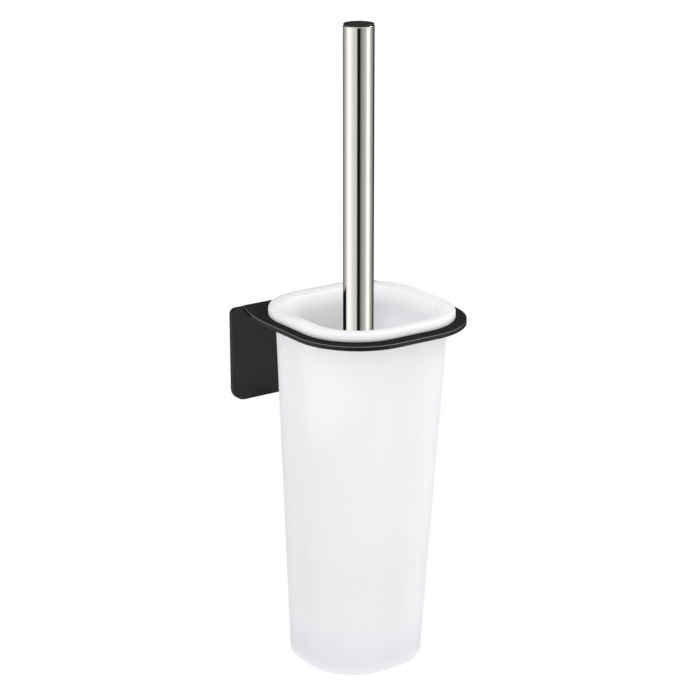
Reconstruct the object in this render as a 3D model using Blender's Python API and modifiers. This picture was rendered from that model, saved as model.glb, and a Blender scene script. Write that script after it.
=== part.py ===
"""Wall-mounted toilet brush holder, modelled as the pieces it is assembled from.

A black powder-coated plate and ring hang on a concealed wall bracket. A satin glass cup stands
in the ring on a soft gasket, and a brush with a steel tube for a handle stands in the cup.

Metres, +Z up. The origin lies on the wall, behind the middle of the wall plate, so the wall is the
plane y = 0 and everything reaches out from it along -Y. The names below are the sizes that can be
changed one at a time; everything else is worked out from them.
"""

import math

import bmesh
import bpy

MM = 0.001

# Clearances
TOUCH = 0.3 * MM  # gap left between faces that touch on the real object
SLIP = 0.4 * MM  # gap round a piece that drops into another

# Wall plate
PLATE_WIDTH = 110 * MM
PLATE_HEIGHT = 58 * MM
PLATE_THICKNESS = 3.4 * MM
PLATE_STANDOFF = 5.4 * MM  # from the wall to the plate's back face
PLATE_TOP_CORNER = 3.5 * MM
PLATE_BOTTOM_CORNER = 8 * MM
EDGE_BREAK = 0.35 * MM  # bevel on the sheet edges of the plate and the ring

# Ring, round the hole that the cup stands in
RING_THICKNESS = 2.8 * MM
RING_PROUD = 1.4 * MM  # the ring's top face stands this much above the plate's top edge
RING_RIM = 7 * MM  # from the hole's edge to the ring's edge, in front and at the sides
RING_BACK_RIM = 7.7 * MM  # from the hole's edge to the plate
RING_CORNER = 41 * MM
RING_STRAIGHT = 19 * MM  # how far past its middle the ring keeps its full width
RING_DRAWN_IN = 8 * MM  # how much each side comes in on its way to the plate
HOLE_SHIFT = 1.8 * MM  # hole and cup sit this much nearer the wall than the ring's middle

# Gasket under the cup's lip
GASKET_THICKNESS = 0.6 * MM
GASKET_SKIRT = 0.9 * MM

# Glass cup
CUP_WIDTH = 92.6 * MM  # outside, at the ring's top face
CUP_CORNER = 35 * MM
CUP_DROP = 217.8 * MM  # from the ring's top face to the foot
FOOT_WIDTH = 76 * MM
FOOT_FLAT = 11 * MM  # straight stretch left on each side of the foot
FOOT_SHIFT = 6.2 * MM  # the foot's middle is this much nearer the wall than the mouth's
FOOT_ROUND = 1.8 * MM
CUP_WALL = 6.4 * MM
CUP_FLOOR = 12 * MM
LIP_DRIP = 1.2 * MM  # the part of the lip that reaches down outside the gasket
LIP_HEIGHT = 5.5 * MM
LIP_EDGE = 1.6 * MM  # round along the lip's outer top edge
LIP_FALL = 1.2 * MM  # how far the lip's top slopes down towards the mouth
LIP_BAND = 11 * MM  # from the lip's outside to the mouth
MOUTH_CORNER = 26 * MM

# Handle
TUBE_DIAMETER = 18 * MM
TUBE_WALL = 1 * MM
TUBE_LENGTH = 262.3 * MM
CAP_HEIGHT = 0.9 * MM
CAP_PLUG = 9 * MM
INSERT_PLUG = 16 * MM
INSERT_FLANGE = 2 * MM
STUD_DIAMETER = 7.8 * MM
STUD_LENGTH = 14 * MM
WASHER_THICKNESS = 1.2 * MM

# Brush head
NECK_DIAMETER = 17 * MM
NECK_LENGTH = 31 * MM
CORE_DIAMETER = 12 * MM
CORE_CHAMFER = 2 * MM
BRISTLE_LENGTH = 76 * MM
BRISTLE_TIP = 9 * MM  # bristles below the end of the core
HEAD_CLEARANCE = 2 * MM  # between the bristle tips and the cup's floor
HEAD_ROOM = 2.2 * MM  # between the bristles and the cup's wall at its foot

# Concealed bracket, hooks and lock screw
BRACKET_WIDTH = 64 * MM
BRACKET_SHEET = 1.5 * MM
BRACKET_TOP = 18 * MM
BRACKET_BOTTOM = 11.5 * MM  # below the origin
RAIL_HEIGHT = 9.5 * MM
RAIL_GAP = 2.1 * MM  # behind the rail, where the hooks reach
SCREW_SPACING = 44 * MM
SCREW_SLOT = 8 * MM  # end to end
SCREW_HOLE = 4.6 * MM
HOOK_WIDTH = 14 * MM
HOOK_SHEET = 1.2 * MM
HOOK_SPACING = 26 * MM
LUG_WIDTH = 12 * MM
LUG_HEIGHT = 7 * MM
LUG_BOTTOM = 2 * MM  # above the plate's lower edge
LOCK_DIAMETER = 3 * MM
HEX_KEY = 1.5 * MM

# Places worked out from the sizes
FOOT_CORNER = (FOOT_WIDTH - FOOT_FLAT) / 2
HOLE_WIDTH = CUP_WIDTH + 2 * (GASKET_SKIRT + 2 * SLIP)
HOLE_CORNER = CUP_CORNER + GASKET_SKIRT
GASKET_WIDTH = HOLE_WIDTH - 2 * SLIP + 2 * GASKET_SKIRT
LIP_WIDTH = GASKET_WIDTH + 2 * LIP_DRIP
LIP_CORNER = CUP_CORNER + LIP_DRIP
MOUTH_WIDTH = LIP_WIDTH - 2 * LIP_BAND
RING_WIDTH = HOLE_WIDTH + 2 * RING_RIM
RING_REACH = HOLE_WIDTH / 2 + HOLE_SHIFT + RING_BACK_RIM  # from the plate to the ring's middle
RING_TOP = PLATE_HEIGHT / 2 + RING_PROUD
PLATE_BACK = -PLATE_STANDOFF
PLATE_FRONT = PLATE_BACK - PLATE_THICKNESS
RING_Y = PLATE_FRONT - RING_REACH
CUP_Y = RING_Y + HOLE_SHIFT
BRUSH_Y = CUP_Y + 0.55 * FOOT_SHIFT
BRISTLE_DIAMETER = FOOT_WIDTH - 2 * CUP_WALL - 2 * HEAD_ROOM
FOOT_Z = RING_TOP - CUP_DROP
FLOOR_Z = FOOT_Z + CUP_FLOOR
BRISTLE_BOTTOM = FLOOR_Z + HEAD_CLEARANCE
BRISTLE_TOP = BRISTLE_BOTTOM + BRISTLE_LENGTH
NECK_TOP = BRISTLE_TOP + NECK_LENGTH
INSERT_BOTTOM = NECK_TOP + WASHER_THICKNESS + 2 * TOUCH
TUBE_BOTTOM = INSERT_BOTTOM + INSERT_FLANGE + TOUCH
TUBE_TOP = TUBE_BOTTOM + TUBE_LENGTH
PLUG_RADIUS = TUBE_DIAMETER / 2 - TUBE_WALL - TOUCH
RAIL_FOOT = BRACKET_TOP - RAIL_HEIGHT
JOG_FOOT = RAIL_FOOT - 1.2 * RAIL_GAP  # where the bracket's sheet starts to lean off the wall
LOCK_Y = PLATE_BACK / 2 - TOUCH
LUG_Z = LUG_BOTTOM - PLATE_HEIGHT / 2 + LUG_HEIGHT / 2

CORNER_STEPS = 9
TURN_STEPS = 40


def start_scene():
    for old in list(bpy.data.objects):
        bpy.data.objects.remove(old)
    unit = bpy.context.scene.unit_settings
    unit.system = "METRIC"
    unit.scale_length = 1.0


def new_collection(name):
    collection = bpy.data.collections.new(name)
    bpy.context.scene.collection.children.link(collection)
    return collection


def new_material(name, color, roughness, metallic=0.0):
    material = bpy.data.materials.new(name)
    material.use_nodes = True
    material.diffuse_color = (*color, 1.0)
    shader = material.node_tree.nodes["Principled BSDF"]
    shader.inputs["Base Color"].default_value = (*color, 1.0)
    shader.inputs["Roughness"].default_value = roughness
    shader.inputs["Metallic"].default_value = metallic
    return material


start_scene()
HOLDER = new_collection("toilet_brush_holder")
CUTTERS = new_collection("cutters")
CUTTERS.hide_render = True

BLACK_COAT = new_material("black_coat", (0.018, 0.018, 0.02), 0.55)
ZINC = new_material("zinc_steel", (0.62, 0.63, 0.64), 0.4, 1.0)
SATIN_GLASS = new_material("satin_glass", (0.9, 0.91, 0.93), 0.4)
STEEL = new_material("brushed_steel", (0.66, 0.64, 0.6), 0.22, 1.0)
BLACK_PLASTIC = new_material("black_plastic", (0.01, 0.01, 0.01), 0.4)
WHITE_PLASTIC = new_material("white_plastic", (0.85, 0.86, 0.86), 0.45)
RUBBER = new_material("soft_gasket", (0.75, 0.76, 0.77), 0.7)
BRISTLE = new_material("bristle", (0.88, 0.89, 0.9), 0.6)


def place(obj, material, smooth=True):
    """Puts a finished object in the holder's collection with its finish."""
    for collection in list(obj.users_collection):
        collection.objects.unlink(obj)
    HOLDER.objects.link(obj)
    obj.data.materials.clear()
    obj.data.materials.append(material)
    if smooth and obj.type == "MESH":
        obj.data.shade_smooth()
        obj.data.set_sharp_from_angle(angle=math.radians(35))
    return obj


def as_cutter(obj):
    for collection in list(obj.users_collection):
        collection.objects.unlink(obj)
    CUTTERS.objects.link(obj)
    obj.hide_render = True
    obj.display_type = "WIRE"
    return obj


def hang_on(parent, *pieces):
    """Makes pieces follow a parent without moving them."""
    bpy.context.view_layer.update()
    for piece in pieces:
        piece.parent = parent
        piece.matrix_parent_inverse = parent.matrix_world.inverted()


def cut(obj, cutter):
    hang_on(obj, cutter)
    modifier = obj.modifiers.new("cut_" + cutter.name, "BOOLEAN")
    modifier.operation = "DIFFERENCE"
    modifier.solver = "EXACT"
    modifier.object = cutter


def bevel(obj, width, segments=2):
    modifier = obj.modifiers.new("edge_break", "BEVEL")
    modifier.width = width
    modifier.segments = segments
    modifier.limit_method = "ANGLE"
    modifier.angle_limit = math.radians(50)


def arc(centre, radius, start, end, steps):
    """Points on a circle about centre, from one angle to another, in degrees."""
    points = []
    for step in range(steps + 1):
        angle = math.radians(start + (end - start) * step / steps)
        points.append((centre[0] + radius * math.cos(angle), centre[1] + radius * math.sin(angle)))
    return points


def rounded_square(width, corner, centre_y=0.0):
    """A square outline with round corners, anticlockwise from its right side."""
    inset = width / 2 - corner
    points = []
    for sign_x, sign_y, start in ((1, 1, 0), (-1, 1, 90), (-1, -1, 180), (1, -1, 270)):
        middle = (sign_x * inset, centre_y + sign_y * inset)
        points += arc(middle, corner, start, start + 90, CORNER_STEPS)
    return points


def plate_outline():
    """The plate seen from the front: tight corners above, softer ones below."""
    half, rise = PLATE_WIDTH / 2, PLATE_HEIGHT / 2
    top, low = PLATE_TOP_CORNER, PLATE_BOTTOM_CORNER
    points = arc((half - top, rise - top), top, 0, 90, 4)
    points += arc((top - half, rise - top), top, 90, 180, 4)
    points += arc((low - half, low - rise), low, 180, 270, 6)
    points += arc((half - low, low - rise), low, 270, 360, 6)
    return points


def ring_outline():
    """The ring from above, in its own frame: round corners in front, drawn in towards the plate."""
    half, inset = RING_WIDTH / 2, RING_WIDTH / 2 - RING_CORNER
    run = RING_REACH - TOUCH - RING_STRAIGHT
    drawn = RING_DRAWN_IN
    flank = (run * run + drawn * drawn) / (2 * drawn)  # radius that leaves the side without a kink
    sweep = math.degrees(math.asin(run / flank))
    points = arc((-inset, -inset), RING_CORNER, 180, 270, CORNER_STEPS)
    points += arc((inset, -inset), RING_CORNER, 270, 360, CORNER_STEPS)
    points += arc((half - flank, RING_STRAIGHT), flank, 0, sweep, 5)
    points += arc((flank - half, RING_STRAIGHT), flank, 180 - sweep, 180, 5)
    return points


def flat_piece(name, outlines, thickness):
    """A flat sheet from closed outlines, the later ones being holes, as one welded mesh."""
    curve = bpy.data.curves.new(name + "_outline", "CURVE")
    curve.dimensions = "2D"
    curve.fill_mode = "BOTH"
    curve.extrude = thickness / 2
    for outline in outlines:
        spline = curve.splines.new("POLY")
        spline.points.add(len(outline) - 1)
        for point, (x, y) in zip(spline.points, outline):
            point.co = (x, y, 0, 1)
        spline.use_cyclic_u = True
    drawn = bpy.data.objects.new(name + "_outline", curve)
    bpy.context.scene.collection.objects.link(drawn)
    bpy.context.view_layer.update()
    graph = bpy.context.evaluated_depsgraph_get()
    mesh = bpy.data.meshes.new_from_object(drawn.evaluated_get(graph))
    bpy.data.objects.remove(drawn)
    welded = bmesh.new()
    welded.from_mesh(mesh)
    bmesh.ops.remove_doubles(welded, verts=welded.verts, dist=1e-6)
    bmesh.ops.recalc_face_normals(welded, faces=welded.faces)
    welded.to_mesh(mesh)
    welded.free()
    mesh.name = name
    obj = bpy.data.objects.new(name, mesh)
    bpy.context.scene.collection.objects.link(obj)
    return obj


def turned(name, profile, material, steps=TURN_STEPS, axis_xy=(0.0, BRUSH_Y)):
    """A lathe-turned piece: (radius, z) points run down the outside from the top, then back up."""
    mesh = bpy.data.meshes.new(name)
    edges = [(i, i + 1) for i in range(len(profile) - 1)]
    if profile[0][0] > 0 or profile[-1][0] > 0:
        edges.append((len(profile) - 1, 0))
    mesh.from_pydata([(radius, 0, z) for radius, z in profile], edges, [])
    obj = bpy.data.objects.new(name, mesh)
    obj.location = (*axis_xy, 0)
    HOLDER.objects.link(obj)
    screw = obj.modifiers.new("turn", "SCREW")
    screw.steps = steps
    screw.render_steps = steps
    screw.use_merge_vertices = True
    screw.merge_threshold = 1e-6
    screw.use_normal_calculate = False
    obj.data.materials.append(material)
    return obj


def sheet_strip(name, path, width, thickness, material):
    """Bent sheet metal: a (y, z) path drawn out along X, thickened on its left as it runs."""
    mesh = bpy.data.meshes.new(name)
    strip = bmesh.new()
    rows = []
    for x in (-width / 2, width / 2):
        rows.append([strip.verts.new((x, y, z)) for y, z in path])
    for i in range(len(path) - 1):
        strip.faces.new((rows[0][i], rows[0][i + 1], rows[1][i + 1], rows[1][i]))
    strip.to_mesh(mesh)
    strip.free()
    obj = bpy.data.objects.new(name, mesh)
    place(obj, material, smooth=False)
    solid = obj.modifiers.new("sheet", "SOLIDIFY")
    solid.thickness = thickness
    solid.offset = -1.0
    solid.use_even_offset = True
    return obj


def loft(name, sections, material, hollow=False):
    """A skin through (outline, z) sections: capped at both ends, or a hollow ring closed on itself."""
    mesh = bpy.data.meshes.new(name)
    skin = bmesh.new()
    rows = []
    for outline, z in sections:
        rows.append([skin.verts.new((x, y, z)) for x, y in outline])
    following = rows[1:] + rows[:1] if hollow else rows[1:]
    for below, above in zip(rows, following):
        for i in range(len(below)):
            j = (i + 1) % len(below)
            skin.faces.new((below[i], below[j], above[j], above[i]))
    if not hollow:
        skin.faces.new(list(reversed(rows[0])))
        skin.faces.new(rows[-1])
    bmesh.ops.recalc_face_normals(skin, faces=skin.faces)
    skin.to_mesh(mesh)
    skin.free()
    return place(bpy.data.objects.new(name, mesh), material)


def slot_cutter(name, length, diameter, x, z):
    """A slot through the bracket's sheet, longer across than it is high."""
    reach = (length - diameter) / 2
    outline = arc((reach, 0), diameter / 2, -90, 90, 8) + arc((-reach, 0), diameter / 2, 90, 270, 8)
    cutter = flat_piece(name, [outline], 8 * BRACKET_SHEET)
    cutter.rotation_euler = (math.radians(90), 0, 0)
    cutter.location = (x, 0, z)
    return as_cutter(cutter)


def wall_bracket():
    """Joggled sheet: a foot under it for the lock screw, a flat back, and a rail off the wall."""
    reach = PLATE_STANDOFF - 2 * TOUCH
    path = [
        (-reach, -BRACKET_BOTTOM),
        (0, -BRACKET_BOTTOM),
        (0, JOG_FOOT),
        (-RAIL_GAP, RAIL_FOOT),
        (-RAIL_GAP, BRACKET_TOP),
    ]
    bracket = sheet_strip("wall_bracket", path, BRACKET_WIDTH, BRACKET_SHEET, ZINC)
    slot_z = (JOG_FOOT - BRACKET_BOTTOM + BRACKET_SHEET) / 2
    for side, x in (("left", -SCREW_SPACING / 2), ("right", SCREW_SPACING / 2)):
        cut(bracket, slot_cutter("slot_" + side, SCREW_SLOT, SCREW_HOLE, x, slot_z))
    return bracket


def wall_plate():
    plate = flat_piece("wall_plate", [plate_outline()], PLATE_THICKNESS)
    plate.rotation_euler = (math.radians(90), 0, 0)
    plate.location = (0, (PLATE_BACK + PLATE_FRONT) / 2, 0)
    bevel(plate, EDGE_BREAK)
    return place(plate, BLACK_COAT)


def holder_ring():
    hole = rounded_square(HOLE_WIDTH, HOLE_CORNER, HOLE_SHIFT)
    ring = flat_piece("holder_ring", [ring_outline(), hole], RING_THICKNESS)
    ring.location = (0, RING_Y, RING_TOP - RING_THICKNESS / 2)
    bevel(ring, EDGE_BREAK)
    return place(ring, BLACK_COAT)


def hook(side, x):
    """An upside-down U behind the plate: one leg lies on the plate, the other behind the rail."""
    front = PLATE_BACK + TOUCH + HOOK_SHEET
    rear = -RAIL_GAP + (RAIL_GAP - HOOK_SHEET) / 2
    web = BRACKET_TOP + TOUCH
    leg = BRACKET_TOP - 0.7 * RAIL_HEIGHT
    path = [(front, leg), (front, web), (rear, web), (rear, leg)]
    strip = sheet_strip("hook_" + side, path, HOOK_WIDTH, HOOK_SHEET, BLACK_COAT)
    strip.location = (x, 0, 0)
    return strip


def drill(name, radius, depth, z, sides=24):
    """An upright cutter on the lock screw's axis: a round drill, or a hex key with six sides."""
    mesh = bpy.data.meshes.new(name)
    tool = bmesh.new()
    bmesh.ops.create_cone(
        tool, cap_ends=True, segments=sides, radius1=radius, radius2=radius, depth=depth
    )
    tool.to_mesh(mesh)
    tool.free()
    cutter = bpy.data.objects.new(name, mesh)
    cutter.location = (0, LOCK_Y, z)
    return as_cutter(cutter)


def lock_lug():
    """The threaded block behind the plate's lower edge."""
    back, front = -TOUCH * 2, PLATE_BACK + TOUCH
    mesh = bpy.data.meshes.new("lock_lug")
    block = bmesh.new()
    bmesh.ops.create_cube(block, size=1.0)
    bmesh.ops.scale(block, verts=block.verts, vec=(LUG_WIDTH, back - front, LUG_HEIGHT))
    bmesh.ops.translate(block, verts=block.verts, vec=(0, (back + front) / 2, LUG_Z))
    block.to_mesh(mesh)
    block.free()
    lug = place(bpy.data.objects.new("lock_lug", mesh), BLACK_COAT, smooth=False)
    cut(lug, drill("lock_bore", LOCK_DIAMETER / 2 + TOUCH / 2, 2 * LUG_HEIGHT, LUG_Z))
    return lug


def grub_screw():
    """A headless screw up through the lug, its cone point just under the bracket's foot."""
    radius = LOCK_DIAMETER / 2
    tip = -BRACKET_BOTTOM - TOUCH
    bottom = LUG_Z - LUG_HEIGHT / 2 + TOUCH
    chamfer = 0.25 * LOCK_DIAMETER
    profile = [
        (0, tip),
        (0.4 * radius, tip),
        (radius, tip - chamfer),
        (radius, bottom + 0.2 * MM),
        (radius - 0.2 * MM, bottom),
        (0, bottom),
    ]
    screw = turned("grub_screw", profile, ZINC, steps=24, axis_xy=(0, LOCK_Y))
    cut(screw, drill("hex_socket", HEX_KEY / math.sqrt(3), 2 * LOCK_DIAMETER, bottom, sides=6))
    return screw


def ring_gasket():
    """An L-section ring: a skirt lining the hole and a flange under the cup's lip."""
    skirt = HOLE_WIDTH - 2 * SLIP
    inner = skirt - 2 * GASKET_SKIRT
    corner = HOLE_CORNER - SLIP
    low = RING_TOP - RING_THICKNESS
    seat = RING_TOP + TOUCH
    top = seat + GASKET_THICKNESS
    inside = rounded_square(inner, corner - GASKET_SKIRT, CUP_Y)
    middle = rounded_square(skirt, corner, CUP_Y)
    outside = rounded_square(GASKET_WIDTH, corner + GASKET_SKIRT, CUP_Y)
    sections = [(inside, low), (middle, low), (middle, seat), (outside, seat), (outside, top), (inside, top)]
    return loft("ring_gasket", sections, RUBBER, hollow=True)


def cup_section(z, inward=0.0):
    """The cup's outline at a height below the lip, set in by a wall: the back stands upright."""
    share = (RING_TOP - z) / CUP_DROP
    width = CUP_WIDTH + (FOOT_WIDTH - CUP_WIDTH) * share - 2 * inward
    corner = CUP_CORNER + (FOOT_CORNER - CUP_CORNER) * share - inward
    return rounded_square(width, corner, CUP_Y + FOOT_SHIFT * share)


def glass_cup():
    """One skin: foot, outer wall, drip edge, rounded lip, mouth, inner wall, floor."""
    under = RING_TOP + 2 * TOUCH + GASKET_THICKNESS
    drip = RING_TOP + TOUCH
    crown = RING_TOP + LIP_HEIGHT
    sections = []
    for angle in (90, 60, 30, 0):
        inset = FOOT_ROUND * (1 - math.cos(math.radians(angle)))
        z = FOOT_Z + FOOT_ROUND * (1 - math.sin(math.radians(angle)))
        sections.append((cup_section(z, inset), z))
    for share in (0.25, 0.5, 0.75):
        z = FOOT_Z + CUP_DROP * share
        sections.append((cup_section(z), z))
    sections.append((cup_section(under), under))

    def lip(inset, z):
        """An outline that far in from the lip's outside, its corners easing into the mouth's."""
        corner = LIP_CORNER + (MOUTH_CORNER - LIP_CORNER) * inset / LIP_BAND
        return rounded_square(LIP_WIDTH - 2 * inset, corner, CUP_Y), z

    sections.append(lip(LIP_DRIP - 0.2 * MM, under))
    sections.append(lip(LIP_DRIP - 0.5 * MM, drip))
    sections.append(lip(0.5 * MM, drip))
    sections.append(lip(0, drip + 0.6 * MM))
    side = crown - 0.3 * MM - LIP_EDGE
    for angle in (0, 30, 60, 90):
        inset = LIP_EDGE * (1 - math.cos(math.radians(angle)))
        sections.append(lip(inset, side + LIP_EDGE * math.sin(math.radians(angle))))
    sections.append(lip(0.31 * LIP_BAND, crown))
    sections.append(lip(0.6 * LIP_BAND, crown - 0.45 * LIP_FALL))
    sections.append(lip(0.82 * LIP_BAND, crown - LIP_FALL))
    sections.append(lip(0.91 * LIP_BAND, crown - LIP_FALL - 1 * MM))
    sections.append(lip(LIP_BAND, RING_TOP - 3 * MM))
    for share in (0.15, 0.4, 0.7):
        z = RING_TOP - CUP_DROP * share
        sections.append((cup_section(z, CUP_WALL), z))
    for angle in (0, 45, 90):
        inset = FOOT_ROUND * (1 - math.cos(math.radians(angle)))
        z = FLOOR_Z + FOOT_ROUND * (1 - math.sin(math.radians(angle)))
        sections.append((cup_section(z, CUP_WALL + inset), z))
    return loft("glass_cup", sections, SATIN_GLASS)


def handle_tube():
    outer, inner = TUBE_DIAMETER / 2, TUBE_DIAMETER / 2 - TUBE_WALL
    edge = 0.3 * MM
    profile = [
        (inner, TUBE_TOP),
        (outer - edge, TUBE_TOP),
        (outer, TUBE_TOP - edge),
        (outer, TUBE_BOTTOM + edge),
        (outer - edge, TUBE_BOTTOM),
        (inner, TUBE_BOTTOM),
    ]
    return turned("handle_tube", profile, STEEL)


def handle_cap():
    """The push-in plug on top of the tube: a thin domed head over a stem."""
    head = TUBE_DIAMETER / 2 - 0.25 * MM
    seat = TUBE_TOP + TOUCH
    profile = [
        (0, seat + CAP_HEIGHT),
        (head - 1.2 * MM, seat + CAP_HEIGHT),
        (head - 0.3 * MM, seat + 0.7 * CAP_HEIGHT),
        (head, seat + 0.3 * CAP_HEIGHT),
        (head, seat),
        (PLUG_RADIUS, seat),
        (PLUG_RADIUS, TUBE_TOP - CAP_PLUG + 1 * MM),
        (PLUG_RADIUS - 1 * MM, TUBE_TOP - CAP_PLUG),
        (0, TUBE_TOP - CAP_PLUG),
    ]
    return turned("handle_cap", profile, BLACK_PLASTIC)


def handle_insert():
    """The plug pressed into the tube's lower end, with the stud that screws into the head."""
    flange = TUBE_DIAMETER / 2
    stud = STUD_DIAMETER / 2
    top = TUBE_BOTTOM + INSERT_PLUG
    low = INSERT_BOTTOM - STUD_LENGTH
    profile = [
        (0, top),
        (PLUG_RADIUS - 1 * MM, top),
        (PLUG_RADIUS, top - 1 * MM),
        (PLUG_RADIUS, TUBE_BOTTOM - TOUCH),
        (flange, TUBE_BOTTOM - TOUCH),
        (flange, INSERT_BOTTOM),
        (stud, INSERT_BOTTOM),
        (stud, low + 0.8 * MM),
        (stud - 0.8 * MM, low),
        (0, low),
    ]
    return turned("handle_insert", profile, BLACK_PLASTIC)


def neck_washer():
    inner = STUD_DIAMETER / 2 + SLIP
    outer = NECK_DIAMETER / 2 - 0.2 * MM
    low = NECK_TOP + TOUCH
    high = low + WASHER_THICKNESS
    profile = [(inner, high), (outer, high), (outer, low), (inner, low)]
    return turned("neck_washer", profile, RUBBER)


def brush_core():
    """Neck and tuft core in one moulding, with a threaded socket in its top."""
    neck, core = NECK_DIAMETER / 2, CORE_DIAMETER / 2
    socket = STUD_DIAMETER / 2 + TOUCH
    depth = STUD_LENGTH + 1 * MM
    end = BRISTLE_BOTTOM + BRISTLE_TIP
    profile = [
        (0, NECK_TOP - depth),
        (socket, NECK_TOP - depth),
        (socket, NECK_TOP),
        (neck - 0.5 * MM, NECK_TOP),
        (neck, NECK_TOP - 0.5 * MM),
        (neck, NECK_TOP - depth - 2 * MM),
        (core, BRISTLE_TOP + 2 * MM),
        (core, end + CORE_CHAMFER),
        (core - CORE_CHAMFER, end),
        (0, end),
    ]
    return turned("brush_core", profile, WHITE_PLASTIC)


def bristles():
    """The space the tufts fill, as one sleeve closed below the core."""
    bore = CORE_DIAMETER / 2 + TOUCH
    full = BRISTLE_DIAMETER / 2
    end = BRISTLE_BOTTOM + BRISTLE_TIP - TOUCH
    ease = TOUCH * math.tan(math.radians(22.5))  # keeps the gap even round the chamfer
    profile = [
        (0, end),
        (bore - TOUCH - CORE_CHAMFER + ease, end),
        (bore, end + TOUCH + CORE_CHAMFER - ease),
        (bore, BRISTLE_TOP),
        (0.55 * full, BRISTLE_TOP),
        (0.86 * full, BRISTLE_TOP - 0.06 * BRISTLE_LENGTH),
        (full, BRISTLE_TOP - 0.25 * BRISTLE_LENGTH),
        (full, BRISTLE_TOP - 0.55 * BRISTLE_LENGTH),
        (0.93 * full, BRISTLE_TOP - 0.8 * BRISTLE_LENGTH),
        (0.8 * full, BRISTLE_TOP - 0.93 * BRISTLE_LENGTH),
        (0.6 * full, BRISTLE_BOTTOM),
        (0, BRISTLE_BOTTOM),
    ]
    return turned("bristles", profile, BRISTLE)


def group(name, y, *pieces):
    """An empty on the line that its pieces move along."""
    empty = bpy.data.objects.new(name, None)
    empty.location = (0, y, 0)
    empty.empty_display_size = 0.02
    HOLDER.objects.link(empty)
    hang_on(empty, *pieces)
    return empty


handle = group("handle", BRUSH_Y, handle_tube(), handle_cap(), handle_insert())
brush = group("brush_head", BRUSH_Y, brush_core(), bristles(), neck_washer(), handle)
cup = group("cup", CUP_Y, glass_cup(), brush)
lock = group("lock_screw", LOCK_Y, grub_screw())
hooks = [hook("left", -HOOK_SPACING / 2), hook("right", HOOK_SPACING / 2)]
fixed = [wall_bracket(), wall_plate(), holder_ring(), lock_lug(), ring_gasket()]
group("holder", 0, *fixed, *hooks, cup, lock)
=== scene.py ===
# %% [markdown]
# # A wall-hung toilet brush holder
# A black plate and ring carry a satin glass cup. In the cup stands a brush, whose handle is a
# steel tube. The sizes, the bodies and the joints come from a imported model, the frame. This
# lesson gives every piece its finished shape and surface, one cell at a time, and hangs each
# piece on the body that it moves with.

# %% Load the frame
import math

import bmesh
import bpy
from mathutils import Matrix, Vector


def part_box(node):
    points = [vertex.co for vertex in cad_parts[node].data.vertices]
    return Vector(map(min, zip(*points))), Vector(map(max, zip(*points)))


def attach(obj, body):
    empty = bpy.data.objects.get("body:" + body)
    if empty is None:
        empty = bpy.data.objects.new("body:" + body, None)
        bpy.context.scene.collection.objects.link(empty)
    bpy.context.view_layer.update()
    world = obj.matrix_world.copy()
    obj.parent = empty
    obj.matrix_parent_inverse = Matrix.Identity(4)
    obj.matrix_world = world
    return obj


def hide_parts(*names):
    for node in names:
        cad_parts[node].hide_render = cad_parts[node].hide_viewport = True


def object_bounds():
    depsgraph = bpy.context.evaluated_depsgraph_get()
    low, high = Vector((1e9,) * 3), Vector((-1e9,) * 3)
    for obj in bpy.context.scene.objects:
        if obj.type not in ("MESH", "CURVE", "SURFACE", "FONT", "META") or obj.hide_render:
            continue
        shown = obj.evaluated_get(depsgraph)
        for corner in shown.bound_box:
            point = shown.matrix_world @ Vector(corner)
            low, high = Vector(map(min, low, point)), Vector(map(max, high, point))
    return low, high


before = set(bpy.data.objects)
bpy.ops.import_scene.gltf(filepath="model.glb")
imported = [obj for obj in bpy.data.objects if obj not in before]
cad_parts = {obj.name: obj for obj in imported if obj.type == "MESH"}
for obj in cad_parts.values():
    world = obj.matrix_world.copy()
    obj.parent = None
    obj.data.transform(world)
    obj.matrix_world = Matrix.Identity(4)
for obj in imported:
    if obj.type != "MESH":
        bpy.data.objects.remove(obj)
CAD_LOW, CAD_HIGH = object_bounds()
MM = 0.001
print("frame box, mm:", [round(1000 * v, 1) for v in CAD_HIGH - CAD_LOW])

# %% [markdown]
# ## Sizes
# A designer reads sizes off the model instead of typing them twice. Each node's box gives a low
# and a high corner, and nearly every size below is a difference between two of those numbers.


# %% Read the sizes from the frame
def span(node):
    """A node's low corner, high corner and middle."""
    low, high = (Vector(corner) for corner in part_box(node))
    return low, high, (low + high) / 2


PLATE_LOW, PLATE_HIGH, PLATE_MID = span("wall_plate")
RING_LOW, RING_HIGH, RING_BOX_MID = span("holder_ring")
CUP_LOW, CUP_HIGH, CUP_MID = span("glass_cup")
TUBE_LOW, TUBE_HIGH, TUBE_MID = span("handle_tube")
GASKET_LOW, GASKET_HIGH, _ = span("ring_gasket")

RING_WIDTH = RING_HIGH.x - RING_LOW.x
RING_TOP = RING_HIGH.z
RING_MID = Vector((0, RING_LOW.y + RING_WIDTH / 2, RING_TOP))
CUP_Y = CUP_MID.y
BRUSH_Y = TUBE_MID.y
print("ring middle, mm:", [round(1000 * v, 1) for v in RING_MID])

# %% [markdown]
# ## Camera
# A product camera stands well back with a long lens, so that upright edges stay nearly parallel.
# It could be aimed with a Track To constraint, but a rotation worked out from two points has
# nothing left to update later.

# %% Camera
CAMERA_AZIMUTH = math.radians(-35.2)
CAMERA_ELEVATION = math.radians(16.9)
CAMERA_DISTANCE = 1.174
CAMERA_LENS = 103.4  # millimetres, on the usual 36 mm sensor
AIM_RIGHT = -9.0 * MM
AIM_UP = -19.25 * MM

back = Vector(
    (
        math.sin(CAMERA_AZIMUTH) * math.cos(CAMERA_ELEVATION),
        -math.cos(CAMERA_AZIMUTH) * math.cos(CAMERA_ELEVATION),
        math.sin(CAMERA_ELEVATION),
    )
)
right = Vector((0, 0, 1)).cross(back).normalized()
up = back.cross(right)
aim = RING_MID + right * AIM_RIGHT + up * AIM_UP

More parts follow.
